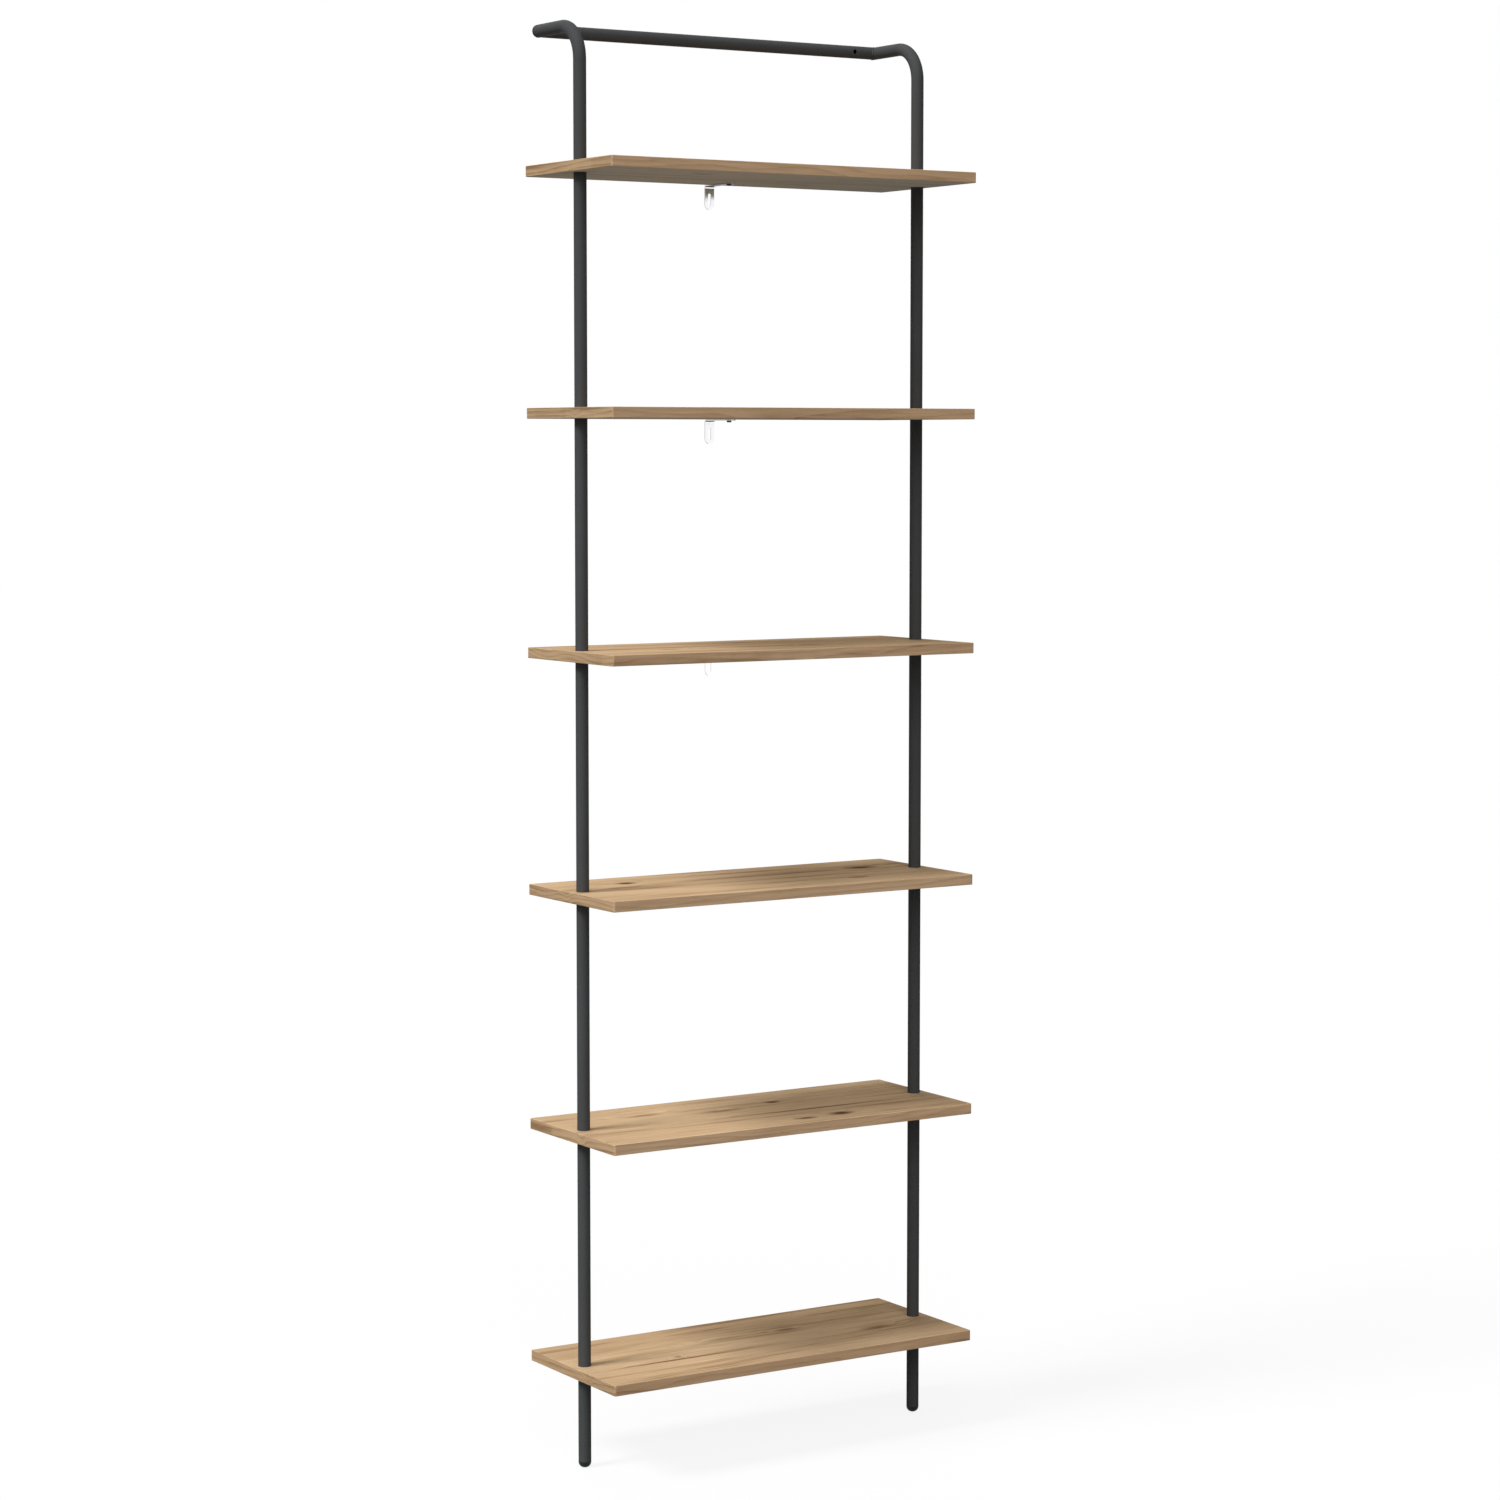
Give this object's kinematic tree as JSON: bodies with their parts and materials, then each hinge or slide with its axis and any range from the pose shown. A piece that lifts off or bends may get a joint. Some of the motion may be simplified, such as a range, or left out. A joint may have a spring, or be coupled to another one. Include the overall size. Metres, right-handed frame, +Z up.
{
  "type": "bookcase",
  "caption": "Tall open wall bookcase: oak boards clamped on two slim black tube posts that bend back to a crossbar screwed to the wall.",
  "frame": {"origin": "on the floor under the middle of the boards' width and depth", "axes": "+X to the right seen from the front, +Y towards the wall, +Z up"},
  "size_m": [0.6, 0.24, 2.015],
  "materials": {
    "oak_board": "matt oak, grain along the board",
    "black_tube": "fine matt powder coat",
    "black_weld": "weld bead under the powder coat",
    "black_foot": "moulded, satin",
    "black_plug": "moulded, glossy",
    "plain_steel": "plain turned steel",
    "plated_bracket": "bright plated",
    "dark_screw": "dark plated"
  },
  "bodies": {
    "root": {"shelf_1": "oak_board", "shelf_2": "oak_board", "shelf_3": "oak_board", "shelf_4": "oak_board", "shelf_5": "oak_board", "shelf_6": "oak_board", "left_foot_tube": "black_tube", "left_post_tube_1": "black_tube", "left_post_tube_2": "black_tube", "left_post_tube_3": "black_tube", "left_post_tube_4": "black_tube", "left_post_tube_5": "black_tube", "left_arm": "black_tube", "right_foot_tube": "black_tube", "right_post_tube_1": "black_tube", "right_post_tube_2": "black_tube", "right_post_tube_3": "black_tube", "right_post_tube_4": "black_tube", "right_post_tube_5": "black_tube", "right_arm": "black_tube", "crossbar": "black_tube", "left_weld_seam": "black_weld", "left_foot": "black_foot", "left_arm_plug": "black_plug", "left_tube_inserts": "plain_steel", "left_studs": "plain_steel", "right_weld_seam": "black_weld", "right_foot": "black_foot", "right_arm_plug": "black_plug", "right_tube_inserts": "plain_steel", "right_studs": "plain_steel", "wall_bracket_1": "plated_bracket", "wall_bracket_2": "plated_bracket", "wall_bracket_3": "plated_bracket", "wall_bracket_4": "plated_bracket", "wall_bracket_5": "plated_bracket", "wall_bracket_6": "plated_bracket", "bracket_screws": "dark_screw"}
  },
  "joints": []
}
